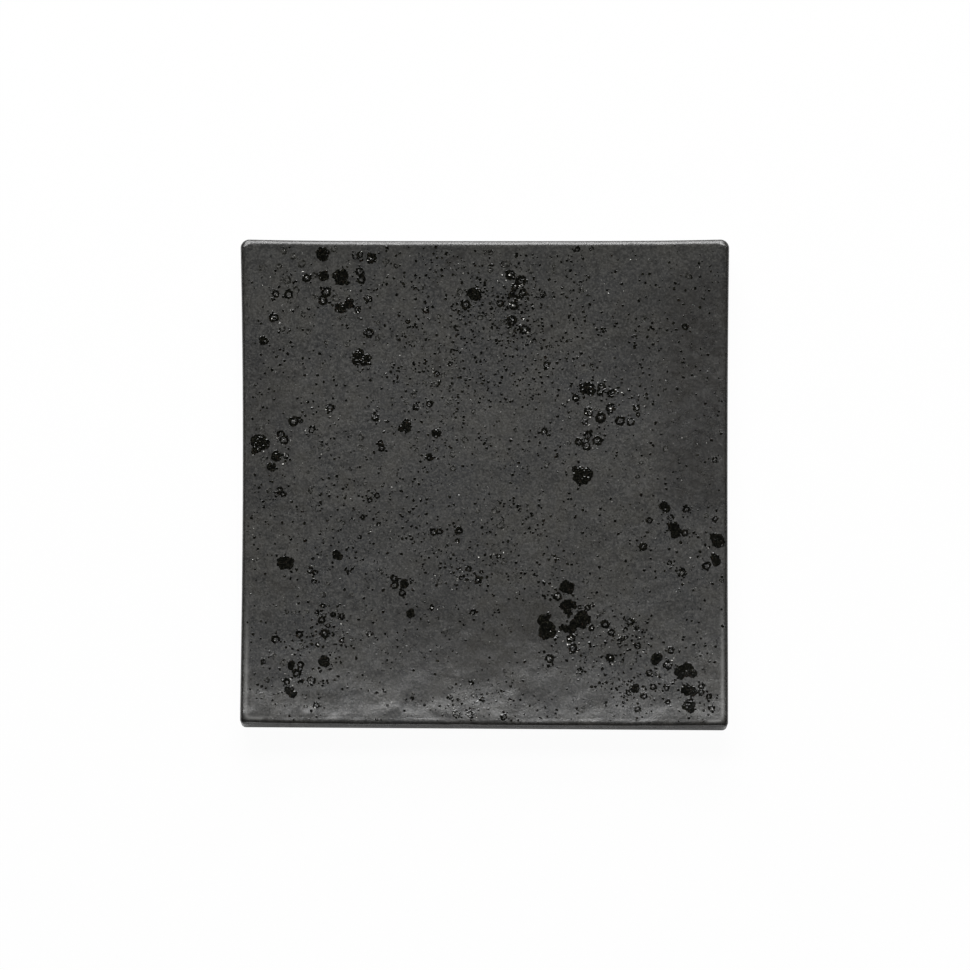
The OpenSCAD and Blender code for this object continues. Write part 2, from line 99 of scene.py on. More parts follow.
def layered(tree, tone, *layers):
    """Lays other colours over one, each where a pattern goes from one number to another, up to a share."""
    for source, none_at, most_at, share, colour in layers:
        tone = blended(tree, graded(tree, source, none_at, most_at, 0, share), tone, colour)
    return tone


def finished(tree, shader, tone, source, smoothest, roughest):
    """Gives a shader its colour, and a roughness that follows a pattern."""
    tree.links.new(tone, shader.inputs["Base Color"])
    tree.links.new(graded(tree, source, 0.3, 0.7, smoothest, roughest), shader.inputs["Roughness"])


def bumped(tree, shader, height, depth, under=None):
    """Relief in the surface, as deep in metres as the height pattern says, over another relief."""
    node = tree.nodes.new("ShaderNodeBump")
    node.inputs["Distance"].default_value = depth
    tree.links.new(height, node.inputs["Height"])
    if under:
        tree.links.new(under, node.inputs["Normal"])
    tree.links.new(node.outputs["Normal"], shader.inputs["Normal"])
    return node.outputs["Normal"]


def bare_stoneware():
    """Fired clay: cloudy cream and buff, sandy, with rust-brown specks of iron."""
    material, tree, shader = new_material("bare_stoneware")
    buff, cream, brown, rust = (0.40, 0.31, 0.22), (0.47, 0.38, 0.28), (0.30, 0.22, 0.15), (0.07, 0.045, 0.03)
    sand = clouded(tree, 900, 4)
    cloud = clouded(tree, 60, 3)
    iron = dotted(tree, 420)
    body = layered(
        tree, buff, (cloud, 0.35, 0.65, 1, cream), (sand, 0.3, 0.7, 0.6, brown), (iron, 0.2, 0.08, 1, rust)
    )
    finished(tree, shader, body, sand, 0.78, 0.95)
    bumped(tree, shader, sand, 0.00012)
    return material


clay = bare_stoneware()
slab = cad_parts["clay_slab"]
slab.data.materials.clear()
slab.data.materials.append(clay)

# Foot ring: a strip of the same clay, luted to the slab and trimmed, with its edges sponged round.
# It stands on the table and is wiped free of glaze, so that it doesn't stick to the kiln shelf.
foot_half = 0.100
foot_strip = 0.0055
under_z = 0.004
foot_corner_r = 0.018
foot_edge_r = 0.0009
foot_top = under_z + 0.0005
foot_wobble = 0.00012
foot_dip = 0.00009


def soft_noise(x, y, cell, seed):
    """Smooth random numbers from -1 to 1, with lumps about one cell wide."""
    lattice = np.random.default_rng(seed).uniform(-1, 1, (256, 256))
    gx, gy = np.asarray(x) / cell + 1000, np.asarray(y) / cell + 1000
    ix, iy = np.floor(gx).astype(int), np.floor(gy).astype(int)
    fx, fy = gx - ix, gy - iy
    fx, fy = fx ** 3 * (fx * (fx * 6 - 15) + 10), fy ** 3 * (fy * (fy * 6 - 15) + 10)
    ix0, iy0, ix1, iy1 = ix % 256, iy % 256, (ix + 1) % 256, (iy + 1) % 256
    back = lattice[ix0, iy0] * (1 - fx) + lattice[ix1, iy0] * fx
    front = lattice[ix0, iy1] * (1 - fx) + lattice[ix1, iy1] * fx
    return back * (1 - fy) + front * fy


def rounded_square(x, y, r):
    """Moves places on a square's rings on to the rings of a square with round corners, evenly spaced."""
    h, s = np.maximum(np.abs(x), np.abs(y)), np.minimum(np.abs(x), np.abs(y))
    safe_h, safe_r = np.maximum(h, 1e-9), np.maximum(r, 1e-9)
    along = s / safe_h * (h - r + r * math.pi / 4)
    turn = np.maximum(along - (h - r), 0) / safe_r
    longer = h - r + r * np.cos(turn)
    shorter = np.where(turn > 0, h - r + r * np.sin(turn), along)
    wide = np.abs(x) >= np.abs(y)
    return np.sign(x) * np.where(wide, longer, shorter), np.sign(y) * np.where(wide, shorter, longer)


def square_loop(marks):
    """Places round a unit square, counted from its front left corner, with the same marks on every side."""
    side = np.array(marks[:-1])
    one = np.ones_like(side)
    return (
        np.concatenate([side, one, -side, -one]),
        np.concatenate([-one, side, one, -side]),
    )


def plain_mesh(name, points, faces, material, smooth=True):
    """A piece with its place in its mesh."""
    mesh = bpy.data.meshes.new(name)
    mesh.from_pydata([tuple(p) for p in points], [], [tuple(f) for f in faces])
    mesh.materials.append(material)
    mesh.shade_smooth() if smooth else mesh.shade_flat()
    piece = bpy.data.objects.new(name, mesh)
    bpy.context.scene.collection.objects.link(piece)
    return piece


def loop_faces(first, second, count):
    """Faces between two loops of the same number of points."""
    k = np.arange(count)
    n = (k + 1) % count
    return np.stack([first + k, first + n, second + n, second + k], axis=1).tolist()


foot_marks = np.linspace(-1, 1, 61)
foot_x, foot_y = square_loop(foot_marks)
foot_count = len(foot_x)
round_turns = np.radians([0, 22.5, 45, 67.5, 90])
less_x, less_y = foot_edge_r * (1 - np.cos(round_turns)), foot_edge_r * (1 - np.sin(round_turns))
foot_section = [(0.0, foot_top), *zip(less_x, less_y)]
foot_section += [*zip(foot_strip - less_y, less_x), (foot_strip, foot_top)]
foot_points = []
for inset, height in foot_section:
    x, y = rounded_square(foot_x * (foot_half - inset), foot_y * (foot_half - inset), foot_corner_r - inset)
    low = 1 - height / foot_top
    drawn_in = 1 - foot_wobble * low * np.abs(soft_noise(x, y, 0.009, 21)) / np.hypot(x, y)
    raised = height + foot_dip * low * np.abs(soft_noise(x, y, 0.014, 22))
    foot_points += np.stack([x * drawn_in, y * drawn_in, raised], axis=1).tolist()
foot_faces = []
for row in range(len(foot_section)):
    following = (row + 1) % len(foot_section)
    foot_faces += loop_faces(following * foot_count, row * foot_count, foot_count)
foot = plain_mesh("foot_ring_sponged", foot_points, foot_faces, clay)
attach(foot, "root")
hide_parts("foot_ring")

# Matt glaze coat: a satin-matt charcoal glaze half a millimetre thick, poured over the face and the back.
# It has pooled in soft dents and lumps, most of all along the front of the rim, and stops at the foot.
# The kiln has drawn the plate's sides in a little and left its front edge out of true.
half = 0.130
front_corner_r, back_corner_r = 0.0026, 0.0048
well_z = 0.0127
pillow = 0.0048
corner_lift = 0.0044
lip_r = 0.0025
cove_h = 0.00015
cove_w = 0.0026
bow_left, bow_right, bow_back = 0.00155, 0.0008, 0.0001
front_skew, side_skew, front_taper, extra_depth = 0.0017, 0.0009, 0.00065, 0.0023
crest_at = half - lip_r
edge_r = 0.0015
wall_lean = 0.0003
bare_line = 0.0004
glaze_t = 0.0005
thinnest_glaze = 0.00015
front_fall, back_fall = 0.00034, 0.00036
crest_calm = 0.0016

# Lumps along the rim as x, y, half length, half width and height in millimetres
rim_lumps = [
    (-80, -126.8, 5, 2.4, 0.15), (-91, -122.5, 6, 2.6, 0.13), (-81, -112.5, 5, 2.4, 0.08),
    (-29, -126.9, 4.5, 2.2, 0.11), (-25, -121.8, 6, 2.4, 0.10), (-9, -125.6, 5, 2.8, 0.19),
    (6, -127.0, 4, 2.2, 0.09), (36, -127.6, 4, 2.0, 0.09), (59, -127.6, 5, 2.0, 0.09),
    (71, -127.8, 6, 2.2, 0.11), (88, -128.2, 6, 2.2, 0.10), (-79, -93.5, 6, 2.5, 0.06),
    (13, -120, 5, 2.5, 0.08), (48, -118, 7, 3, 0.08), (-52, -121, 8, 3, 0.09), (100, -122, 6, 3, 0.07),
]


def warped(x, y):
    """Where the kiln moves a place of the true square."""
    u, v = x / half, y / half
    bow_x = np.where(u > 0, bow_right, bow_left)
    bow_y = np.where(v > 0, bow_back, 0)
    skew_x = side_skew * (1 + u) * v / 4 - u * front_taper * ((1 - v) / 2) ** 8
    skew_y = front_skew * (1 - u) * (1 - v) / 4
    return x - u * bow_x * (1 - v * v) + skew_x, y - v * bow_y * (1 - u * u) + skew_y + v * extra_depth / 2


def unwarped(x, y):
    """Place of the true square that the kiln has moved to a place, closely enough."""
    wx, wy = warped(x, y)
    return 2 * x - wx, 2 * y - wy


def inset_from_rim(x, y):
    """Distance in from the rim, measured along the shrunken outline through a place of the true square."""
    a = np.maximum(np.abs(x), np.abs(y))
    b = np.minimum(np.abs(x), np.abs(y))
    r = np.where(y > 0, back_corner_r, front_corner_r)
    c = half - r
    total, square = a + b, a * a + b * b
    root = np.maximum(c * c * total * total - square * (2 * c * c - r * r), 0)
    at_corner = square / (c * total + np.sqrt(root) + 1e-12)
    return half * (1 - np.where(b * half <= a * c, a / half, at_corner))


def crest_height(x, y):
    """Height of the well, and of the rim's crest less its cove."""
    u4, v4 = (x / crest_at) ** 4, (y / crest_at) ** 4
    return well_z + pillow * (u4 + v4 - u4 * v4) + corner_lift * u4 * v4


def rim_rise(inset, inside=0.0):
    """Rise of the cove and fall of the rounded lip, for a face that lies some way inside the glaze."""
    share = np.clip((inset - lip_r) / cove_w, 0, 1)
    over = np.clip(lip_r - inset, 0, lip_r - inside)
    return cove_h * (1 + np.cos(math.pi * share)) / 2 - lip_r + np.sqrt((lip_r - inside) ** 2 - over ** 2)


def ramp(value, low, high):
    """Rises softly from 0 at one value to 1 at another."""
    share = np.clip((value - low) / (high - low), 0, 1)
    return share * share * (3 - 2 * share)


def rim_roll(y):
    """Fall of the rim's crest, where the back of it rolls over softly and the front has lost its cove."""
    front = front_fall * ramp(-y, 0.070, 0.115) * (1 - ramp(half + y, 0.0013, 0.0060))
    return front + back_fall * (1 - ramp(half - y, 0.0012, 0.0044))


def dents(x, y):
    """Soft unevenness of the glazed face, deeper towards the front."""
    front = ramp(-y, 0.070, 0.115)
    low = ramp(-y, -0.02, 0.07)
    depth = 0.00012 * soft_noise(x, y, 0.026, 3) * (0.7 + 0.6 * low)
    depth += 0.00007 * soft_noise(x, y, 0.012, 4) * (0.5 + 0.9 * low + 0.5 * front)
    depth += 0.000022 * soft_noise(x, y, 0.0052, 5) * (0.7 + 1.0 * low + 1.0 * front)
    for lump_x, lump_y, length, width, height in rim_lumps:
        across, along = (x * 1000 - lump_x) / length, (y * 1000 - lump_y) / width
        depth += height / 1000 * np.exp(-across ** 2 - along ** 2)
    return depth


def glaze_swell(x, y, inset, true_y):
    """Rise or fall of the glaze from its even thickness; the clay stays covered everywhere."""
    calm = np.clip(inset / crest_calm, 0, 1)
    return np.maximum(dents(x, y) * calm - rim_roll(true_y), thinnest_glaze - glaze_t)


def face_height(x, y):
    """Height of the glazed face at a place on the plate."""
    px, py = unwarped(x, y)
    inset = inset_from_rim(px, py)
    return crest_height(px, py) + rim_rise(inset) + glaze_swell(x, y, inset, py)


def face_grid(marks, inside):
    """Places of the face on a square grid of marks, some way inside the glaze."""
    gx, gy = np.meshgrid(marks, marks, indexing="ij")
    gx, gy = gx.ravel(), gy.ravel()
    size = np.maximum(np.abs(gx), np.abs(gy))
    px, py = rounded_square(gx, gy, np.where(gy > 0, back_corner_r, front_corner_r) * size / half)
    inset = half - size
    z = crest_height(px, py) + rim_rise(inset, inside)
    wx, wy = warped(px, py)
    if inside == 0:
        z = z + glaze_swell(wx, wy, inset, py)
    return np.stack([wx, wy, z], axis=1)


def grid_faces(count):
    """Faces of a square grid with so many points on a side."""
    i, j = np.meshgrid(np.arange(count - 1), np.arange(count - 1), indexing="ij")
    a = (i * count + j).ravel()
    return np.stack([a, a + count, a + count + 1, a + 1], axis=1).tolist()


def grid_edge(count):
    """Grid points round the edge, in the order of square_loop."""
    k = np.arange(count - 1)
    last = count - 1
    return np.concatenate([k * count, last * count + k, (last - k) * count + last, last - k])


def both_ways(marks):
    """Marks on both sides of the middle."""
    marks = np.array(sorted(marks))
    return np.concatenate([-marks[::-1], marks[marks > 0]])


def side_rows(marks, inside):
    """Loops of the wall, the lower edge and the underside, from below the lip to the foot."""
    sx, sy = square_loop(marks / marks[-1])
    corner_r = np.where(sy > 0, back_corner_r, front_corner_r)
    result = []

    def ring(inset, height):
        px, py = rounded_square(sx * (half - inset), sy * (half - inset), corner_r * (1 - inset / half))
        wx, wy = warped(px, py)
        result.append(np.stack([wx, wy, height(px, py)], axis=1))

    low = under_z + edge_r
    for share in (0.2, 0.4, 0.6, 0.8):
        ring(
            inside + wall_lean * share,
            lambda px, py: (crest_height(px, py) + cove_h - lip_r) * (1 - share) + low * share,
        )
    for turn in np.radians([90, 72, 54, 36, 18, 0]):
        inset = wall_lean + edge_r - (edge_r - inside) * math.sin(turn)
        height = low - (edge_r - inside) * math.cos(turn)
        ring(inset, lambda px, py: height + 0 * px)
    for inset in (0.006, 0.010, 0.014):
        ring(inset, lambda px, py: under_z + inside + 0 * px)
    for share in (0.35, 0.7, 0.97, 1):
        size = (half - 0.014) * (1 - share) + (foot_half + bare_line) * share
        corner = corner_r * (1 - share) + (foot_corner_r + bare_line) * share
        px, py = rounded_square(sx * size, sy * size, corner)
        uneven = 0.00005 * soft_noise(px, py, 0.02, 8) * (inside == 0)
        result.append(np.stack([px, py, under_z + inside + np.maximum(uneven, 0)], axis=1))
    return result


def coat_skin(marks, inside):
    """Points and faces of one skin of the coat, and where its loop of points at the foot starts."""
    points = [face_grid(marks, inside)]
    faces = grid_faces(len(marks))
    rows = side_rows(marks, inside)
    count = len(rows[0])
    start = len(marks) ** 2
    edge = grid_edge(len(marks))
    faces += [
        [edge[k], start + k, start + (k + 1) % count, edge[(k + 1) % count]] for k in range(count)
    ]
    for row in range(len(rows) - 1):
        faces += loop_faces(start + (row + 1) * count, start + row * count, count)
    return np.concatenate(points + rows), faces, start + (len(rows) - 1) * count


def laced(fine, fine_marks, coarse, coarse_marks):
    """Triangles between a fine loop and a coarse one, side by side of the square."""
    faces = []
    fine_side, coarse_side = len(fine_marks) - 1, len(coarse_marks) - 1
    for side in range(4):
        i = k = 0
        while i < fine_side or k < coarse_side:
            a = fine + (side * fine_side + i) % (4 * fine_side)
            b = coarse + (side * coarse_side + k) % (4 * coarse_side)
            if k == coarse_side or (i < fine_side and fine_marks[i + 1] <= coarse_marks[k + 1] + 1e-9):
                faces.append([b, a, fine + (side * fine_side + i + 1) % (4 * fine_side)])
                i += 1
            else:
                faces.append([coarse + (side * coarse_side + k + 1) % (4 * coarse_side), b, a])
                k += 1
    return faces


cove_foot = half - lip_r - cove_w
face_marks = both_ways([
    *np.linspace(0, cove_foot, 110),
    *(cove_foot + cove_w * np.arange(1, 6) / 5),
    *(half - lip_r * (1 - np.cos(np.radians([75, 60, 45, 30, 15, 0])))),
])
lining_marks = both_ways([
    *np.linspace(0, cove_foot, 8),
    *(cove_foot + cove_w * np.arange(1, 5) / 4),
    *(half - lip_r + (lip_r - glaze_t) * np.cos(np.radians([60, 30, 0]))),
])
skin, skin_faces, skin_foot = coat_skin(face_marks, 0.0)
lining, lining_faces, lining_foot = coat_skin(lining_marks, glaze_t)
shift = len(skin)
coat_faces = skin_faces + [[shift + v for v in reversed(face)] for face in lining_faces]
coat_faces += laced(
    skin_foot, face_marks / face_marks[-1], shift + lining_foot, lining_marks / lining_marks[-1]
)


def charcoal_glaze():
    """Satin-matt glaze in several greys, from clouds down to grain, with pale crystals and fine pits."""
    material, tree, shader = new_material("charcoal_matt_glaze")
    cloud = clouded(tree, 38, 4, 0.6)
    patch = clouded(tree, 130, 3, 0.55)
    grain = clouded(tree, 850, 4, 0.65)
    crystal = dotted(tree, 620)
    pit = dotted(tree, 330)
    mottle = clouded(tree, 330, 3, 0.6)
    swell = clouded(tree, 120, 1, 0.4)
    slate, olive, soot = (0.0278, 0.0286, 0.0293), (0.0392, 0.0381, 0.0343), (0.0112, 0.0112, 0.0107)
    ash, ink = (0.056, 0.055, 0.052), (0.0088, 0.0088, 0.0083)
    pale_grain, dark_grain = (0.074, 0.073, 0.068), (0.0062, 0.0062, 0.0057)
    crystal_grey, pit_black = (0.13, 0.128, 0.118), (0.006, 0.006, 0.005)
    # The last two colours are laid on by attributes: the dark one for real stains and painted shade over the
    # lip, the pale one for a painted highlight near the front corners and painted light towards the back.
    stain_and_shade_brown, painted_light_grey = (0.0075, 0.0062, 0.0045), (0.155, 0.154, 0.148)
    tone = layered(
        tree, slate,
        (cloud, 0.38, 0.62, 1, olive), (patch, 0.40, 0.66, 0.8, soot),
        (mottle, 0.50, 0.72, 0.6, ash), (mottle, 0.45, 0.28, 0.7, ink),
        (grain, 0.45, 0.66, 0.8, pale_grain), (grain, 0.45, 0.28, 0.8, dark_grain),
        (crystal, 0.15, 0.06, 0.8, crystal_grey), (pit, 0.12, 0.05, 0.8, pit_black),
    )
    for attribute, colour in (("stain_and_shade", stain_and_shade_brown), ("thin", painted_light_grey)):
        painted = tree.nodes.new("ShaderNodeAttribute")
        painted.attribute_name = attribute
        tone = blended(tree, painted.outputs["Fac"], tone, colour)
    finished(tree, shader, tone, patch, 0.25, 0.31)
    shader.inputs["IOR"].default_value = 1.6
    soft = bumped(tree, shader, swell, 0.00020)
    softer = bumped(tree, shader, mottle, 0.00005, soft)
    satin = bumped(tree, shader, grain, 0.00007, softer)
    bumped(tree, shader, graded(tree, pit, 0.04, 0.14, 0, 1), 0.00003, satin)
    return material


charcoal = charcoal_glaze()
coat = plain_mesh("matt_glaze_coat_poured", np.concatenate([skin, lining]), coat_faces, charcoal)

# Dark smears in the glaze and, last, four broad darker bands, as x, y of both ends, half width and strength,
# in millimetres
smears = [
    (-19.5, 119.2, -12, 124.7, 2.0, 0.8), (14, 102.5, 15.5, 104.5, 3.2, 0.55),
    (105, 103, 125, 105, 1.4, 0.55), (97, 108.5, 100, 110, 2.2, 0.4),
    (116, -7, 124, 13, 3.0, 0.35), (-25.5, 64.6, -25.3, 67.4, 2.3, 0.75),
    (-112, -55, -103, -55, 3.0, 0.4), (-115, -73, -114, -70, 3.0, 0.4), (-98.5, -10.5, -96, -12.8, 0.8, 0.7),
    (118, 8, 116, 92, 25, 0.66), (90, 96, 82, 60, 19, 0.26), (-32, -84, 26, -82, 22, 0.34),
    (-119, 62, -119, 2, 17, 0.30),
]
stain_and_shade_at = np.zeros(len(skin))
for ax, ay, bx, by, width, strength in smears:
    px, py = skin[:, 0] * 1000 - ax, skin[:, 1] * 1000 - ay
    run_x, run_y = bx - ax, by - ay
    along = np.clip((px * run_x + py * run_y) / (run_x ** 2 + run_y ** 2), 0, 1)
    off = np.hypot(px - along * run_x, py - along * run_y) / width
    ragged = 0.75 + 0.35 * soft_noise(skin[:, 0], skin[:, 1], 0.0022, 91)
    stain_and_shade_at = np.maximum(stain_and_shade_at, strength * np.exp(-off ** 4) * ragged)

# Painted shade: a dark line over the rounding of the lip, where it turns away from the lamps.
lip_in = inset_from_rim(*unwarped(skin[:, 0], skin[:, 1])) * 1000
painted_shade_on_lip = (skin[:, 2] > 0.010) * np.exp(-((lip_in - 1.1) / 0.9) ** 2)
stain_and_shade_at = np.maximum(stain_and_shade_at, 0.6 * painted_shade_on_lip)
# Painted highlight: a pale line just inside the lip near the front left and right corners. Painted light: the
# face a little paler towards the back, where it slopes away from the lamps behind.
highlight_by_corners = 0.85 * np.exp(-((lip_in - 3.1) / 0.75) ** 2) * ramp(-skin[:, 1], 0.045, 0.110)
painted_light_at_back = 0.07 * ramp(lip_in, 2.5, 5) * ramp(skin[:, 1], 0.078, 0.120)
painted_light_at = highlight_by_corners * (np.abs(skin[:, 0]) > 0.118) + painted_light_at_back
for name, values in (("stain_and_shade", stain_and_shade_at), ("thin", painted_light_at)):
    layer = coat.data.attributes.new(name, "FLOAT", "POINT")
    layer.data.foreach_set("value", np.concatenate([values, np.zeros(len(lining))]).astype(np.float32))
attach(coat, "root")
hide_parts("matt_glaze_coat")

# Base glaze panel: the same glaze brushed inside the foot ring, so that the underside can be wiped clean.
# Its edge has drawn back from the clay strip and stands round, and brush strokes have levelled in it.
panel_half = foot_half - foot_strip - bare_line
panel_corner = foot_corner_r - foot_strip - bare_line
panel_edge = 0.0006
panel_marks = both_ways([
    *np.linspace(0, panel_half - panel_edge, 34),
    *(panel_half - panel_edge * share for share in (0.7, 0.4, 0.15, 0)),
])


def panel_face(low):
    """Places of the brushed face below or of the flat one against the clay."""
    gx, gy = np.meshgrid(panel_marks, panel_marks, indexing="ij")
    gx, gy = gx.ravel(), gy.ravel()
    size = np.maximum(np.abs(gx), np.abs(gy))
    px, py = rounded_square(gx, gy, panel_corner * size / panel_half)
    round_off = 1 - np.clip((panel_half - size) / panel_edge, 0, 1)
    if low:
        stroke = 0.00006 * np.abs(soft_noise(px * 0.25, py, 0.006, 31))
        stroke += 0.00008 * np.abs(soft_noise(px, py, 0.03, 32))
        z = under_z + glaze_t * (1 - np.sqrt(1 - round_off ** 2)) * 0.8 + stroke * (1 - round_off)
    else:
        z = np.full_like(px, under_z + glaze_t)
    return np.stack([px, py, z], axis=1)


panel_count = len(panel_marks)
panel_faces = grid_faces(panel_count)
panel_shift = panel_count ** 2
panel_edge_loop = grid_edge(panel_count)
panel_all = [[panel_shift + v for v in face] for face in panel_faces]
panel_all += [face[::-1] for face in panel_faces]
for k in range(len(panel_edge_loop)):
    a, b = panel_edge_loop[k], panel_edge_loop[(k + 1) % len(panel_edge_loop)]
    panel_all.append([a, b, panel_shift + b, panel_shift + a])
panel = plain_mesh(
    "base_glaze_brushed", np.concatenate([panel_face(True), panel_face(False)]), panel_all, charcoal
)
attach(panel, "root")
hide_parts("base_glaze_panel")

# Gloss pools: drops of a fluid black glaze, flicked on wet, that ran together while they melted.
# Each has a rounded edge and a skin that is blistered where gas came through it.
drop_h = 0.00025
melt_d = 0.00025
pool_spread, pool_cell = 0.00008, 0.00022

# Waves of a drop's edge as depth, width and seed
pool_waves = ((0.00042, 0.0015, 41), (0.00032, 0.0007, 42))


def drop_outlines(node_name):
    """Outlines of every drop of a node: for each drop, a list of closed loops of places."""
    mesh = bmesh.new()
    mesh.from_mesh(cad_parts[node_name].data)
    bmesh.ops.remove_doubles(mesh, verts=mesh.verts, dist=2e-6)
    mesh.normal_update()
    tops = {face for face in mesh.faces if face.normal.z > 0.6}
    drops, seen = [], set()
    for seed_face in mesh.faces:
        if seed_face not in tops or seed_face in seen:
            continue
        island, waiting = [], [seed_face]
        seen.add(seed_face)
        while waiting:
            face = waiting.pop()
            island.append(face)
            for edge in face.edges:
                for other in edge.link_faces:
                    if other in tops and other not in seen:
                        seen.add(other)
                        waiting.append(other)
        following = {}
        for face in island:
            for loop in face.loops:
                if not any(other is not face and other in tops for other in loop.edge.link_faces):
                    following[loop.vert] = loop.link_loop_next.vert
        loops = []
        while following:
            start, vert = next(iter(following.items()))
            del following[start]
            line = [start]
            while vert is not start and vert in following:
                line.append(vert)
                vert = following.pop(vert)
            loops.append(np.array([v.co[:2] for v in line]))
        drops.append(loops)
    mesh.free()
    return drops


def depth_inside(x, y, loops):
    """Distance of places inside a drop's outline, less than nothing outside it."""
    nearest = np.full(x.shape, 1.0)
    inside = np.zeros(x.shape, bool)
    for line in loops:
        for (ax, ay), (bx, by) in zip(line, np.roll(line, -1, axis=0)):
            dx, dy = bx - ax, by - ay
            share = np.clip(((x - ax) * dx + (y - ay) * dy) / (dx * dx + dy * dy + 1e-18), 0, 1)
            nearest = np.minimum(nearest, np.hypot(x - ax - share * dx, y - ay - share * dy))
            if ay != by:
                crosses = (ay > y) != (by > y)
                inside ^= crosses & (x < ax + (y - ay) * dx / (by - ay))
    return np.where(inside, nearest, -nearest)


def melted(loops, cell, depth, height):
    """Closed mesh of one drop, on square cells that are trimmed where they cross its edge.

    depth(x, y, d) says how far a place is inside the edge, and height(x, y, depth) how high it stands.
    """
    every = np.concatenate(loops)
    low = np.floor(every.min(0) / cell) - 3
    high = np.ceil(every.max(0) / cell) + 3
    across, up = (np.arange(low[axis], high[axis] + 1) * cell for axis in (0, 1))
    gx, gy = np.meshgrid(across, up, indexing="ij")
    field = depth(gx, gy, depth_inside(gx, gy, loops))
    field = np.where(np.abs(field) < 1e-7, 1e-7, field)
    places, numbers, faces = [], {}, []

    def number(key, x, y):
        if key not in numbers:
            numbers[key] = len(places)
            places.append((x, y))
        return numbers[key]

    inside = field > 0
    cells = inside[:-1, :-1] | inside[1:, :-1] | inside[1:, 1:] | inside[:-1, 1:]
    for i, j in zip(*np.nonzero(cells)):
        corners = ((i, j), (i + 1, j), (i + 1, j + 1), (i, j + 1))
        face = []
        for here, there in zip(corners, corners[1:] + corners[:1]):
            a, b = field[here], field[there]
            if a > 0:
                face.append(number(here, gx[here], gy[here]))
            if (a > 0) != (b > 0):
                share = min(max(a / (a - b), 0.04), 0.96)
                key = (here, there) if here < there else (there, here)
                face.append(number(
                    key, gx[here] + share * (gx[there] - gx[here]), gy[here] + share * (gy[there] - gy[here])
                ))
        held = [bool(inside[corner]) for corner in corners]
        only_opposite = held in ([True, False] * 2, [False, True] * 2)
        faces += [face[:3], face[3:]] if only_opposite else [face]
    places = np.array(places)
    x, y = places[:, 0], places[:, 1]
    inner = np.maximum(depth(x, y, depth_inside(x, y, loops)), 0)
    ground = face_height(x, y)
    top = np.stack([x, y, ground + height(x, y, inner)], axis=1)
    bottom = np.stack([x, y, ground - melt_d], axis=1)
    count = len(places)
    whole = list(faces) + [[count + v for v in reversed(face)] for face in faces]
    used = {(face[k], face[(k + 1) % len(face)]) for face in faces for k in range(len(face))}
    whole += [[b, a, count + a, count + b] for a, b in used if (b, a) not in used]
    return np.concatenate([top, bottom]), whole


def joined(parts):
    """Points and faces of several parts, put together as one mesh."""
    points, faces, total = [], [], 0
    for part_points, part_faces in parts:
        points.append(part_points)
        faces += [[total + v for v in face] for face in part_faces]
        total += len(part_points)
    return np.concatenate(points), faces


def drop_piece(name, node_name, cell, depth, height, material, beads=()):
    """One piece with all of a node's drops and some beads, melted on to the glaze."""
    melts = [melted(loops, cell, depth, height) for loops in drop_outlines(node_name)]
    piece = plain_mesh(name, *joined(melts + [bead(*one) for one in beads]), material)
    piece.data.set_sharp_from_angle(angle=math.radians(40))
    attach(piece, "root")
    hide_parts(node_name)


def black_gloss():
    """Nearly black glaze, olive to brown where it is thin, frothed with fine bubbles and a little sandy."""
    material, tree, shader = new_material("black_gloss_glaze")
    olive, brown = (0.0115, 0.0115, 0.0075), (0.026, 0.0145, 0.0088)
    pitch, dust = (0.0012, 0.0013, 0.0009), (0.028, 0.027, 0.019)
    tint = clouded(tree, 380, 2)
    froth = dotted(tree, 950)
    sand = clouded(tree, 1300, 2, 0.6)
    tone = layered(
        tree, olive,
        (tint, 0.46, 0.68, 1, brown), (froth, 0.12, 0.34, 1, pitch), (sand, 0.52, 0.68, 0.6, dust),
    )
    finished(tree, shader, tone, tint, 0.08, 0.16)
    bumped(tree, shader, froth, 0.00005)
    return material


black = black_gloss()


def blisters(x, y, cell, seed):
    """Domes from 0 to 1, one in each cell and few of them tall, as gas leaves them in a fluid glaze."""
    lattice = np.random.default_rng(seed).uniform(0, 1, (3, 64, 64))
    ix, iy = np.floor(x / cell).astype(int), np.floor(y / cell).astype(int)
    highest = np.zeros(x.shape)
    for across in (-1, 0, 1):
        for up in (-1, 0, 1):
            jx, jy = ix + across, iy + up
            shift_x, shift_y, luck = lattice[:, jx % 64, jy % 64]
            off = np.hypot(x / cell - jx - 0.2 - 0.6 * shift_x, y / cell - jy - 0.2 - 0.6 * shift_y) / 0.52
            highest = np.maximum(highest, (0.15 + 0.85 * luck ** 3) * np.sqrt(np.maximum(1 - off ** 2, 0)))
    return highest


chance = np.random.default_rng(7)
bead_sides = 10
bead_turns = np.arange(bead_sides) * math.tau / bead_sides


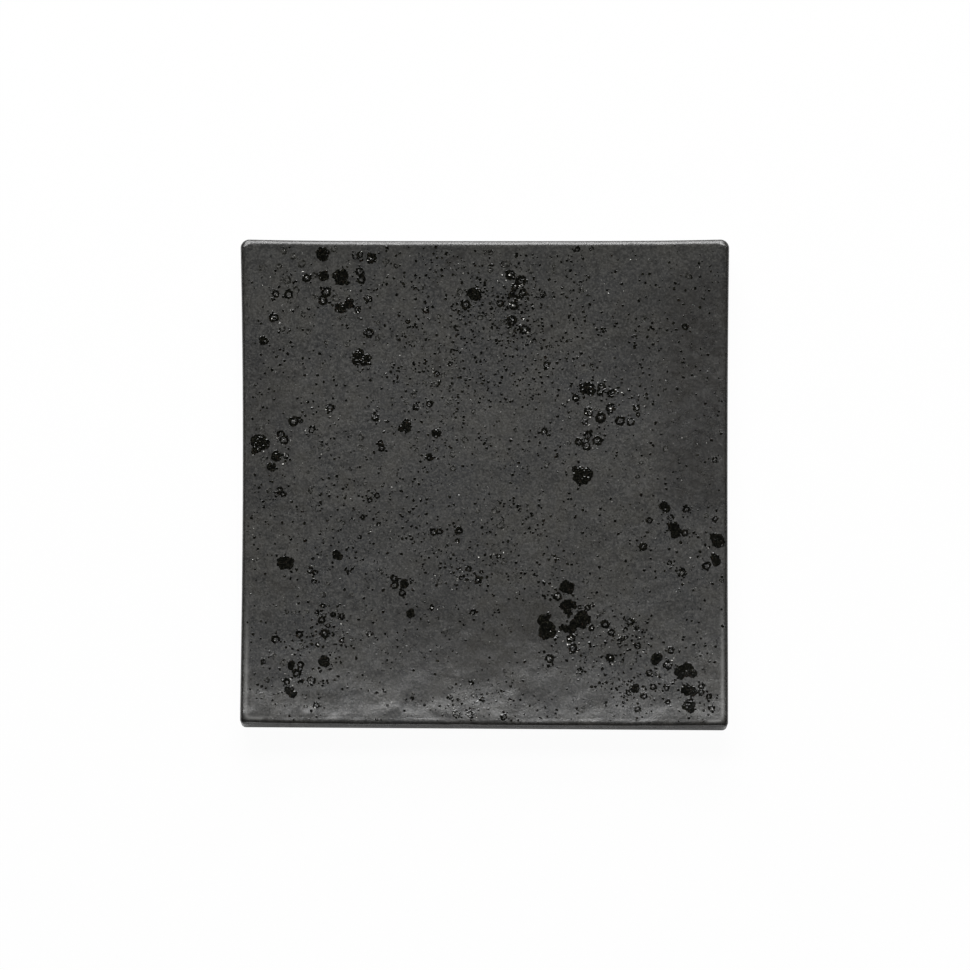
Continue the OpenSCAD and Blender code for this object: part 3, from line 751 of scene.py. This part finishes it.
def bead(x, y, r, height, stretch=1.0, lie=0.0, round_top=False):
    """Points and faces of one bead, flat or round on top and closed underneath."""
    rims = 1 + 0.16 * chance.uniform(-1, 1, bead_sides)
    rows = ((1.0, -0.4), (0.97, 0.35), (0.6, 0.8)) if round_top else ((1.0, -0.4), (0.98, 0.5), (0.84, 0.9))
    points = []
    for share, rise in rows:
        bx, by = r * share * rims * np.cos(bead_turns) * stretch, r * share * rims * np.sin(bead_turns)
        px = x + bx * math.cos(lie) - by * math.sin(lie)
        py = y + bx * math.sin(lie) + by * math.cos(lie)
        points.append(np.stack([px, py, face_height(px, py) + height * rise], axis=1))
    ground = float(face_height(np.array([x]), np.array([y]))[0])
    points.append(np.array([[x, y, ground + height], [x, y, ground - 0.4 * height]]))
    inner, top, bottom = 2 * bead_sides, 3 * bead_sides, 3 * bead_sides + 1
    faces = loop_faces(0, bead_sides, bead_sides) + loop_faces(bead_sides, inner, bead_sides)
    faces += [[inner + k, inner + (k + 1) % bead_sides, top] for k in range(bead_sides)]
    faces += [[(k + 1) % bead_sides, k, bottom] for k in range(bead_sides)]
    return np.concatenate(points), faces


def bead_piece(name, beads, material):
    """One piece with beads only, melted on to the glaze."""
    piece = plain_mesh(name, *joined([bead(*one) for one in beads]), material)
    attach(piece, "root")
    return piece


def aslant(x, y):
    """Places on a grid that lies askew, so that no outline follows the plate's sides."""
    return 0.83 * x + 0.56 * y, 0.83 * y - 0.56 * x


def wavered(x, y, waves):
    """Sum of soft waves given as depth, width and seed."""
    return sum(depth * soft_noise(x, y, width, seed) for depth, width, seed in waves)


def frothy_top(x, y, d, body, shoulder, froth, blister, seed):
    """Height of a drop with a round shoulder, whose blisters differ from back to front."""
    back, front = froth
    bubbled = (back + (front - back) * ramp(-y, -0.06, 0.10)) * blisters(x, y, blister, seed)
    return body * (0.85 + 0.15 * ramp(d, 0, shoulder)) + bubbled * ramp(d, 0, 0.0003)


def pool_depth(x, y, d):
    return d + pool_spread + wavered(*aslant(x, y), pool_waves)


def pool_height(x, y, d):
    body, froth = 0.62 * drop_h, (0.00018, 0.00006)
    return frothy_top(x, y, d, body, shoulder=0.0007, froth=froth, blister=0.0011, seed=43)


drop_piece("gloss_pools_melted", "gloss_pools", pool_cell, pool_depth, pool_height, black)

# Gloss rings: drops of the same black glaze whose middle sank back into the matt glaze as they dried.
# What is left is a ragged black ring, thick at one side and broken here and there, with beads round it.
ring_spread, ring_cell = 0.00002, 0.000225
ring_waves = ((0.00024, 0.006, 50), (0.00038, 0.0012, 51), (0.00036, 0.0006, 52))
drawn_back = 0.3


def ring_depth(x, y, d):
    return d + ring_spread + wavered(*aslant(x, y), ring_waves)


def ring_height(x, y, d):
    body, froth = 0.5 * drop_h, (0.00013, 0.00007)
    return frothy_top(x, y, d, body, shoulder=0.0005, froth=froth, blister=0.0010, seed=53)


def strewn(middle, shares, nearest, furthest, r):
    """Beads of these shares of a radius, strewn between two distances round the middle of a drop.

    One that would lie past the crest of the lip is drawn back towards the drop.
    """
    beads = []
    for share in shares:
        turn, away = chance.uniform(0, math.tau), r * chance.uniform(nearest, furthest)
        heading = np.array([math.cos(turn), math.sin(turn)])
        if inset_from_rim(*unwarped(*(middle + away * heading))) < lip_r:
            away *= drawn_back
        beads.append((
            *(middle + away * heading), share * r,
            chance.uniform(0.15, 0.4) * share * r, chance.uniform(1.0, 1.7), chance.uniform(0, math.pi),
            chance.uniform(0, 1) < 0.6,
        ))
    return beads


def round_about(line):
    """Middle and mean radius of a closed line."""
    middle = line.mean(0)
    return middle, float(np.hypot(*(line - middle).T).mean())


ring_beads, ring_middles = [], []
for loops in drop_outlines("gloss_rings"):
    for hole in sorted(loops, key=len)[:-1]:
        middle, r = round_about(hole)
        ring_middles.append((middle, r))
        ring_beads += strewn(middle, chance.uniform(0.12, 0.30, 7), 0.1, 1.2, r)
        ring_beads += strewn(middle, chance.uniform(0.16, 0.36, 4), 2.5, 4.4, r)
drop_piece("gloss_rings_melted", "gloss_rings", ring_cell, ring_depth, ring_height, black)
beads_round_rings = bead_piece("ring_beads", ring_beads, black)
beads_round_rings.data.set_sharp_from_angle(angle=math.radians(40))

# Faint rings: bubbles that burst late in the firing and healed over, low and almost matt.
# Their rims are a darker, smoother kind of the charcoal glaze.
burst_spread, burst_cell = 0.00006, 0.00026
burst_waves = ((0.00030, 0.0010, 61),)


def dark_satin():
    """The charcoal glaze where it boiled: black to olive grey, and satin."""
    material, tree, shader = new_material("dark_satin_glaze")
    coal, olive = (0.008, 0.008, 0.0065), (0.044, 0.043, 0.038)
    tint = clouded(tree, 700, 3)
    finished(tree, shader, layered(tree, coal, (tint, 0.42, 0.62, 1, olive)), tint, 0.18, 0.42)
    bumped(tree, shader, tint, 0.00005)
    return material


satin_dark = dark_satin()


def burst_depth(x, y, d):
    return d + burst_spread + wavered(x, y, burst_waves)


def burst_height(x, y, d):
    return 0.00004 + 0.00003 * ramp(d, 0, 0.0005) + 0.00003 * blisters(x, y, 0.0009, 62) * ramp(d, 0, 0.0002)


burst_beads = []
for loops in drop_outlines("faint_rings"):
    middle, r = round_about(loops[0])
    ring_middles.append((middle, 0.5 * r))
    burst_beads += strewn(middle, chance.uniform(0.10, 0.22, 6), 0.1, 1.5, r)
drop_piece(
    "faint_rings_healed", "faint_rings", burst_cell, burst_depth, burst_height, satin_dark,
    burst_beads,
)

# Gloss specks: spatter of the black glaze, in beads from a pinhead down to a grain of sand.
# The larger ones are the frame's own, and finer ones lie between them, thickest behind the middle.
spatter_sizes = {
    "Specks per square metre": 66000.0, "Least radius": 0.00028, "Most radius": 0.00088, "Height": 0.00004,
}
speck_h = 0.00007

speck_beads = []
for loops in drop_outlines("gloss_specks"):
    centre, r = round_about(loops[0])
    speck_beads.append((*centre, r, speck_h, chance.uniform(1.0, 1.35), chance.uniform(0, math.pi)))
specks = bead_piece("gloss_specks_beaded", speck_beads, black)
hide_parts("gloss_specks")


def reckoned(tree, operation, first, second):
    """Result of a sum with two numbers, where each is a socket or a plain number."""
    node = tree.nodes.new("ShaderNodeMath")
    node.operation = operation
    for socket, value in zip(node.inputs, (first, second)):
        if isinstance(value, bpy.types.NodeSocket):
            tree.links.new(value, socket)
        else:
            socket.default_value = value
    return node.outputs[0]


def fine_speck_tree(material):
    """Scatters low beads over a face, as thick as its share attribute says."""
    tree = bpy.data.node_groups.new("fine_spatter", "GeometryNodeTree")
    tree.interface.new_socket("Face", in_out="INPUT", socket_type="NodeSocketGeometry")
    sockets = {
        name: tree.interface.new_socket(name, in_out="INPUT", socket_type="NodeSocketFloat")
        for name in spatter_sizes
    }
    tree.interface.new_socket("Specks", in_out="OUTPUT", socket_type="NodeSocketGeometry")
    add, join = tree.nodes.new, tree.links.new
    given, result = add("NodeGroupInput"), add("NodeGroupOutput")
    share = add("GeometryNodeInputNamedAttribute")
    share.inputs["Name"].default_value = "share"
    density = reckoned(tree, "MULTIPLY", given.outputs["Specks per square metre"], share.outputs["Attribute"])
    scatter = add("GeometryNodeDistributePointsOnFaces")
    scatter.inputs["Seed"].default_value = 19
    join(given.outputs["Face"], scatter.inputs["Mesh"])
    join(density, scatter.inputs["Density"])
    lens = add("GeometryNodeMeshCone")
    for socket, value in (("Vertices", 8), ("Radius Top", 0.85), ("Radius Bottom", 1.0), ("Depth", 1.4)):
        lens.inputs[socket].default_value = value
    sunk = add("GeometryNodeTransform")
    sunk.inputs["Translation"].default_value = (0, 0, -0.4)
    join(lens.outputs["Mesh"], sunk.inputs["Geometry"])
    luck = add("FunctionNodeRandomValue")
    luck.inputs["Seed"].default_value = 23
    radius = add("ShaderNodeMapRange")
    join(reckoned(tree, "POWER", luck.outputs[1], 1.8), radius.inputs["Value"])
    join(given.outputs["Least radius"], radius.inputs["To Min"])
    join(given.outputs["Most radius"], radius.inputs["To Max"])
    size = add("ShaderNodeCombineXYZ")
    join(reckoned(tree, "MULTIPLY", radius.outputs["Result"], 1.2), size.inputs["X"])
    join(radius.outputs["Result"], size.inputs["Y"])
    join(given.outputs["Height"], size.inputs["Z"])
    turn = add("FunctionNodeRandomValue")
    turn.data_type = "FLOAT_VECTOR"
    turn.inputs["Seed"].default_value = 29
    turn.inputs[1].default_value = (0, 0, math.tau)
    spin = add("FunctionNodeRotateRotation")
    spin.rotation_space = "LOCAL"
    join(scatter.outputs["Rotation"], spin.inputs["Rotation"])
    join(turn.outputs[0], spin.inputs["Rotate By"])
    place = add("GeometryNodeInstanceOnPoints")
    join(scatter.outputs["Points"], place.inputs["Points"])
    join(sunk.outputs["Geometry"], place.inputs["Instance"])
    join(spin.outputs["Rotation"], place.inputs["Rotation"])
    join(size.outputs["Vector"], place.inputs["Scale"])
    real = add("GeometryNodeRealizeInstances")
    join(place.outputs["Instances"], real.inputs["Geometry"])
    flat = add("GeometryNodeSetShadeSmooth")
    flat.inputs["Shade Smooth"].default_value = False
    join(real.outputs["Geometry"], flat.inputs["Geometry"])
    paint = add("GeometryNodeSetMaterial")
    paint.inputs["Material"].default_value = material
    join(flat.outputs["Geometry"], paint.inputs["Geometry"])
    join(paint.outputs["Geometry"], result.inputs["Specks"])
    return tree, sockets


def speck_share(x, y):
    """How thick the spatter lies: most behind the middle, left of the middle and towards the front right."""
    middle = np.exp(-(x / 0.048) ** 2) * ramp(y, -0.075, -0.045)
    back = np.exp(-((x + 0.004) / 0.050) ** 2 - ((y - 0.078) / 0.034) ** 2)
    left = np.exp(-((x + 0.070) / 0.035) ** 2 - ((y + 0.022) / 0.030) ** 2)
    front = np.exp(-((x - 0.058) / 0.040) ** 2 - ((y + 0.100) / 0.024) ** 2)
    corner = np.exp(-((x + 0.085) / 0.028) ** 2 - ((y + 0.092) / 0.028) ** 2)
    return 0.42 + 0.65 * middle + 0.75 * back + 0.45 * left + 0.75 * front + 0.45 * corner


face_points = skin[: len(face_marks) ** 2]
spatter_face = plain_mesh("fine_specks", face_points, grid_faces(len(face_marks)), black)
px, py = face_points[:, 0], face_points[:, 1]
off_the_lip = inset_from_rim(*unwarped(px, py)) > 0.003
share = spatter_face.data.attributes.new("share", "FLOAT", "POINT")
clumps = np.clip(1 + 1.3 * soft_noise(px, py, 0.012, 71), 0.2, 2.5)
for node_name in ("gloss_pools", "gloss_rings"):
    for loops in drop_outlines(node_name):
        middle = loops[0].mean(0)
        clumps += 0.9 * np.exp(-((px - middle[0]) ** 2 + (py - middle[1]) ** 2) / 0.005 ** 2)
share.data.foreach_set("value", (speck_share(px, py) * clumps * off_the_lip).astype(np.float32))
spatter_tree, spatter_sockets = fine_speck_tree(black)
spatter = spatter_face.modifiers.new("spatter", "NODES")
spatter.node_group = spatter_tree
for name, value in spatter_sizes.items():
    spatter[spatter_sockets[name].identifier] = value
bpy.context.view_layer.update()
seen_face = spatter_face.evaluated_get(bpy.context.evaluated_depsgraph_get())
fine_mesh = bpy.data.meshes.new_from_object(seen_face)
spatter_face.modifiers.clear()
spatter_face.data = fine_mesh
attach(spatter_face, "root")

# Pale flakes: thin torn edges of burst bubbles and grains of feldspar that lie open in the glaze. They stand
# up a little towards the back and catch the light as white points; their pale colour is in part a painted
# glint.
flake_sides = 6
strays = 420
stray_reach = 0.124

# Flakes that stand out, as x, y and radius in millimetres, and how far they are moved and shrunk together
flakes_back, flake_share = 1.25, 0.8
flake_places = [
    (-107.2, 9.5, 0.75), (-112, 90, 0.4), (-118.4, 105.2, 0.4), (-106.6, 124, 0.3), (-84.5, 124, 0.3),
    (-71.3, 102.8, 0.4), (-71.7, 117.3, 0.35), (-103.2, 22.3, 0.4), (-110.3, 23.3, 0.35),
    (-117.3, 16.2, 0.4), (-123, 14, 0.35), (-86.9, 15, 0.35), (-95.3, 27.5, 0.35), (-96.7, 10, 0.35),
    (-58.2, 81.3, 0.35), (-51.5, 74, 0.3), (-45, 68.3, 0.35), (-51.3, 111.5, 0.35), (-11.4, 112.3, 0.4),
    (7, 108.3, 0.35), (41.3, 104.8, 0.35), (77.8, 119.5, 0.35), (81, 119.3, 0.3), (66.1, 101.6, 0.35),
    (59, 83.2, 0.35), (93.8, 85.7, 0.3), (100, 76, 0.3), (-37.5, 49.7, 0.35), (-34, 40, 0.35),
    (56.7, 37.5, 0.4), (41.8, 33.3, 0.35), (105.1, 23.5, 0.4), (111.9, 56.4, 0.35), (118, 20.8, 0.35),
    (-123, -42.3, 0.4), (-120, -41.5, 0.3), (-124, -60.5, 0.35), (-123.2, -28.9, 0.35),
    (-49.2, -2.6, 0.35), (-13.7, -6.8, 0.35), (-1.6, -20.3, 0.35), (-14.3, -32.4, 0.45),
    (-3, -40.5, 0.45), (-26.2, -50.3, 0.4), (-3.2, -52.3, 0.35), (60, -14.9, 0.35), (67.7, -10.6, 0.35),
    (118.7, -35.9, 0.45), (109.3, -41, 0.4), (7.7, -39.8, 0.35), (10, -25.6, 0.3), (-102, -93, 0.4),
    (-105.7, -103.4, 0.4), (-88.3, -87.2, 0.35), (-28, -67.6, 0.3), (-61, -82.3, 0.35),
    (-14.2, -126.5, 0.4), (13.7, -117.6, 0.35), (46, -83.3, 0.4), (45, -80, 0.35), (39.5, -80.2, 0.4),
    (35, -80, 0.4), (120.5, -122.8, 0.4), (75, -84, 0.35), (81.5, -89, 0.4), (77.3, -113.8, 0.35),
]


def crystal_and_painted_glint():
    """Torn glaze and open feldspar, from grey to nearly white, a colour that is in part a painted glint."""
    material, tree, shader = new_material("crystal_and_painted_glint")
    grey, white = (0.16, 0.155, 0.14), (0.42, 0.41, 0.38)
    tint = clouded(tree, 900, 1)
    finished(tree, shader, layered(tree, grey, (tint, 0.35, 0.65, 1, white)), tint, 0.12, 0.3)
    return material


flake_turns = np.arange(flake_sides) * math.tau / flake_sides


def flake(x, y, r):
    """A thin six-sided scale that leans towards the back."""
    lean = math.radians(chance.uniform(12, 26))
    slide = chance.uniform(-0.25, 0.25)
    rims = r * (1 + 0.35 * chance.uniform(-1, 1, flake_sides))
    turned = chance.uniform(0, math.tau)
    fx, fy = rims * np.cos(flake_turns + turned), 0.8 * rims * np.sin(flake_turns + turned)
    px, py = x + fx, y + fy
    ground = face_height(np.array([x]), np.array([y]))[0]
    top = ground + 0.5 * r - fy * math.tan(lean) - fx * slide
    low = np.minimum(face_height(px, py) - 0.00005, top - 0.00003)
    points = np.concatenate([np.stack([px, py, top], axis=1), np.stack([px, py, low], axis=1)])
    upper = list(range(flake_sides))
    lower = [flake_sides + k for k in upper]
    sides = [[(k + 1) % flake_sides, k, lower[k], lower[(k + 1) % flake_sides]] for k in upper]
    return points, [upper, lower[::-1], *sides]


stray_places = chance.uniform(-stray_reach, stray_reach, (strays, 2))
stray_radii = 0.00011 + 0.00012 * chance.uniform(0, 1, strays) ** 2
shown_at = [(x / 1000, (y + flakes_back) / 1000, r * flake_share / 1000) for x, y, r in flake_places]
shown_at += [(x, y, r) for (x, y), r in zip(stray_places, stray_radii)]
for middle, r in ring_middles:
    shown_at += [one[:3] for one in strewn(middle, chance.uniform(0.09, 0.20, 3), 0.1, 2.4, r)]
flakes = plain_mesh("flakes_and_painted_glints", *joined([flake(*one) for one in shown_at]), crystal_and_painted_glint(), smooth=False)
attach(flakes, "root")

# The table, the lights and the camera. A pale table takes a faint shadow. Two large soft lights stand behind
# the plate, two weak ones beside them and one low in front. Above it is dark, so the black glaze stays black.
reach = 14.0
table_z = -0.00003
camera_distance = 6.0
light_aim = Vector((0, 0, 0.01))


def shown(tree, share, first, second, end):
    """Mixes two shaders by a share, and gives the mix to the end of the tree."""
    mix = tree.nodes.new("ShaderNodeMixShader")
    for source, socket in zip((share, first.outputs[0], second.outputs[0]), mix.inputs):
        tree.links.new(source, socket)
    tree.links.new(mix.outputs[0], tree.nodes[end].inputs["Surface"])


def pale_table():
    """Off-white table that the camera sees nearly as bright as the backdrop."""
    material, tree, shader = new_material("pale_table")
    chalk, paper = (0.80, 0.80, 0.80), (0.84, 0.84, 0.84)
    shader.inputs["Roughness"].default_value = 0.9
    shader.inputs["Specular IOR Level"].default_value = 0.1
    grain = clouded(tree, 40, 3)
    tree.links.new(layered(tree, chalk, (grain, 0.3, 0.7, 1, paper)), shader.inputs["Base Color"])
    white = tree.nodes.new("ShaderNodeEmission")
    path = tree.nodes.new("ShaderNodeLightPath")
    seen = graded(tree, path.outputs["Is Camera Ray"], 0.0, 1.0, 0.15, 0.965)
    shown(tree, seen, shader, white, "Material Output")
    return material


table_corners = [(x * reach, y * reach, table_z) for x, y in ((-1, -1), (1, -1), (1, 1), (-1, 1))]
table = plain_mesh("table", table_corners, [(0, 1, 2, 3)], pale_table())


def soft_light(name, place, size, power):
    """A rectangular soft light that faces the plate."""
    data = bpy.data.lights.new(name, "AREA")
    data.shape = "RECTANGLE"
    data.size, data.size_y = size
    data.energy = power
    light = bpy.data.objects.new(name, data)
    light.location = place
    light.rotation_euler = (light_aim - Vector(place)).to_track_quat("-Z", "Y").to_euler()
    light.visible_camera = False
    bpy.context.scene.collection.objects.link(light)


soft_light("back_light", (-0.18, 1.91, 2.63), (2.0, 0.76), 70)
soft_light("low_back_light", (-0.18, 2.88, 1.48), (2.3, 1.08), 88)
soft_light("left_light", (-1.55, 1.40, 2.45), (0.45, 0.45), 9)
soft_light("right_light", (1.55, 1.40, 2.45), (0.45, 0.45), 9)
soft_light("front_light", (0, -2.2, 0.55), (1.6, 0.6), 6)

world = bpy.data.worlds.new("studio")
bpy.context.scene.world = world
world.use_nodes = True
sky = world.node_tree
dim = sky.nodes["Background"]
bright = sky.nodes.new("ShaderNodeBackground")
direction = sky.nodes.new("ShaderNodeTexCoord")
split = sky.nodes.new("ShaderNodeSeparateXYZ")
sky.links.new(direction.outputs["Generated"], split.inputs[0])
height_ramp = graded(sky, split.outputs["Z"], 0.0, 0.30, 1.0, 0.03)
aside = reckoned(sky, "ABSOLUTE", split.outputs["X"], 0.0)
side_ramp = graded(sky, aside, 0.40, 0.85, 1.0, 0.15)
sky.links.new(reckoned(sky, "MULTIPLY", height_ramp, side_ramp), dim.inputs["Strength"])
for background in (dim, bright):
    background.inputs["Color"].default_value = (1, 1, 1, 1)
path = sky.nodes.new("ShaderNodeLightPath")
shown(sky, path.outputs["Is Camera Ray"], dim, bright, "World Output")

camera_data = bpy.data.cameras.new("camera")
camera_data.sensor_width = 36
camera_data.lens = 418
camera_data.clip_end = 100
camera = bpy.data.objects.new("camera", camera_data)
aim = Vector((0.0003, 0.0018, 0))
tilt = math.radians(9.0)
camera.location = aim + camera_distance * Vector((0, -math.sin(tilt), math.cos(tilt)))
camera.rotation_euler = (aim - camera.location).to_track_quat("-Z", "Y").to_euler()
bpy.context.scene.collection.objects.link(camera)
bpy.context.scene.camera = camera
bpy.context.scene.view_settings.view_transform = "Standard"
